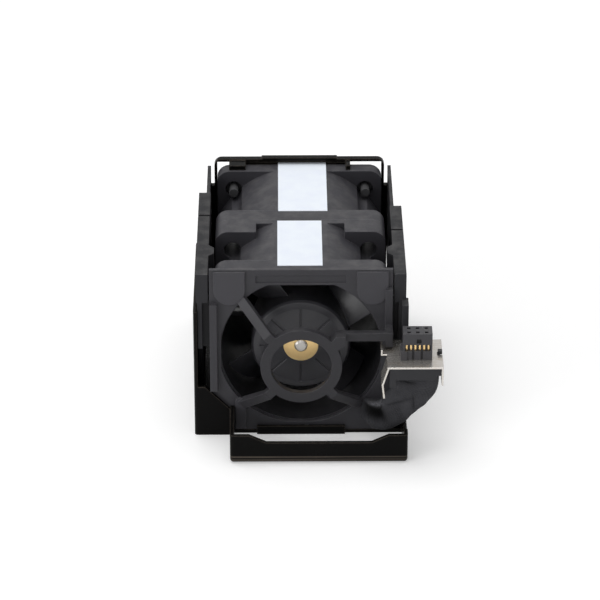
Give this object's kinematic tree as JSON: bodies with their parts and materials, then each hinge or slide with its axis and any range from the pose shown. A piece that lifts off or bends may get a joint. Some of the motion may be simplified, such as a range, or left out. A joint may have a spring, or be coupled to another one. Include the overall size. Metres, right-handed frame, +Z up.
{
  "type": "server fan module",
  "caption": "Pull-out cooling module: two small axial fans in line between moulded rails on a folded steel bracket with a handle, finger guard, connector and sleeved lead.",
  "frame": {"origin": "on the underside of the steel bracket, below the middle of the fan pair", "axes": "+X to the right seen from the inlet, where the connector is; +Y from the inlet to the outlet along the airflow and both rotor shafts; +Z up"},
  "size_m": [0.0573, 0.0728, 0.0442],
  "materials": {
    "frame_plastic": "fine texture",
    "casing_plastic": "satin",
    "rotor_plastic": "satin",
    "black_steel": "gloss black",
    "grey_rubber": "soft",
    "brass": "turned",
    "bright_steel": "ground",
    "plain_steel": "plated",
    "magnet": "bonded ferrite",
    "copper_wire": "enamelled",
    "board": "solder mask",
    "label_paper": "blank label",
    "nickel_sheet": "nickel plated",
    "connector_plastic": "satin",
    "gold": "gold plated",
    "sleeve": "woven tape"
  },
  "bodies": {
    "module": {"face_frame": "frame_plastic", "left_rail": "frame_plastic", "right_rail": "frame_plastic", "front_casing": "casing_plastic", "rear_casing": "casing_plastic", "steel_bracket": "black_steel", "rear_hoop": "black_steel", "mounting_pins": "grey_rubber", "front_bearing_outer_rings": "bright_steel", "rear_bearing_outer_rings": "bright_steel", "front_bearing_tube": "brass", "rear_bearing_tube": "brass", "front_stator_core": "plain_steel", "rear_stator_core": "plain_steel", "front_windings": "copper_wire", "rear_windings": "copper_wire", "front_circuit_board": "board", "rear_circuit_board": "board", "front_label": "label_paper", "rear_label": "label_paper", "connector_shelf": "nickel_sheet", "connector_block": "connector_plastic", "connector_socket": "connector_plastic", "connector_contacts": "gold", "lead_sleeve": "sleeve"},
    "front_rotor": {"front_impeller": "rotor_plastic", "front_bush": "brass", "front_shaft": "bright_steel", "front_yoke": "plain_steel", "front_magnet": "magnet", "front_clip": "bright_steel", "front_bearing_inner_rings": "bright_steel"},
    "rear_rotor": {"rear_impeller": "rotor_plastic", "rear_bush": "brass", "rear_shaft": "bright_steel", "rear_yoke": "plain_steel", "rear_magnet": "magnet", "rear_clip": "bright_steel", "rear_bearing_inner_rings": "bright_steel"}
  },
  "joints": [
    {"name": "front_rotor_spin", "type": "hinge", "parent": "module", "child": "front_rotor", "pos_m": [0, -0.02, 0.0217], "axis": [0, 1, 0], "continuous": true},
    {"name": "rear_rotor_spin", "type": "hinge", "parent": "module", "child": "rear_rotor", "pos_m": [0, 0.02, 0.0217], "axis": [0, -1, 0], "continuous": true}
  ]
}
